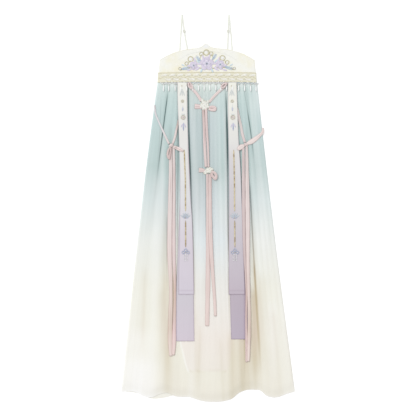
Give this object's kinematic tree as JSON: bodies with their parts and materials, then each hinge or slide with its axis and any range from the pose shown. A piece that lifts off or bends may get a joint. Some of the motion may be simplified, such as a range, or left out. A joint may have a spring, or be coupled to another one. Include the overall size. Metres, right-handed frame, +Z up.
{
  "type": "hanfu robe",
  "caption": "Strapped hanfu dress laid flat: arched bodice, gold waist braid with bead fringe, long ombre skirt in soft folds, satin tails and knotted ties.",
  "frame": {"origin": "middle of the dress's box, on the surface that the dress lies on", "axes": "+Z up out of the front of the dress, +Y towards the straps, +X to the right of the front as it lies face up"},
  "size_m": [0.6, 1.3388, 0.0223],
  "materials": {
    "ombre_chiffon": "sheer matt chiffon, teal blue fading to cream towards the hem",
    "back_chiffon": "sheer matt chiffon",
    "lining_voile": "plain matt voile",
    "ivory_jacquard": "soft jacquard with a faint floral figure",
    "gold_braid": "woven metallic braid with cream leaves",
    "pearl_bead": "glossy pearl",
    "strap_elastic": "narrow woven elastic",
    "slider_plastic": "smooth moulded",
    "lavender_satin": "satin",
    "tail_satin": "satin, ivory fading to lavender",
    "rose_satin": "soft satin",
    "cream_gauze": "pleated gauze",
    "lavender_thread": "satin stitch",
    "sky_thread": "satin stitch"
  },
  "bodies": {
    "root": {"skirt_front": "ombre_chiffon", "skirt_back": "back_chiffon", "lining_front": "lining_voile", "bodice_front": "ivory_jacquard", "bodice_back": "ivory_jacquard", "waist_braid": "gold_braid", "bead_fringe": "pearl_bead", "strap_left_back": "strap_elastic", "strap_left_front": "strap_elastic", "strap_right_back": "strap_elastic", "strap_right_front": "strap_elastic", "slider_left": "slider_plastic", "slider_right": "slider_plastic", "tail_left_lower": "lavender_satin", "tail_right_lower": "lavender_satin", "tail_left_upper": "tail_satin", "tail_right_upper": "tail_satin", "centre_arm_left": "rose_satin", "centre_arm_right": "rose_satin", "centre_twist_left": "rose_satin", "centre_twist_right": "rose_satin", "centre_end_upper": "rose_satin", "centre_loop_upper": "rose_satin", "centre_strand_mid_left": "rose_satin", "centre_strand_mid_right": "rose_satin", "centre_end_lower": "rose_satin", "centre_loop_lower": "rose_satin", "centre_strand_low_left": "rose_satin", "centre_strand_low_right": "rose_satin", "knot_upper": "cream_gauze", "knot_lower": "cream_gauze", "side_left_arm_outer": "rose_satin", "side_left_arm_inner": "rose_satin", "side_left_knot": "rose_satin", "side_left_loop": "rose_satin", "side_left_bow_end": "rose_satin", "side_left_strand_outer": "rose_satin", "side_left_strand_inner": "rose_satin", "side_right_arm_outer": "rose_satin", "side_right_arm_inner": "rose_satin", "side_right_knot": "rose_satin", "side_right_bow_end": "rose_satin", "side_right_strand_inner": "rose_satin", "side_right_strand_outer": "rose_satin", "blossom_middle": "lavender_thread", "blossom_left": "lavender_thread", "blossom_right": "lavender_thread", "leaf_left_low": "sky_thread", "leaf_left_high": "sky_thread", "leaf_right_high": "sky_thread", "leaf_right_low": "sky_thread"}
  },
  "joints": []
}
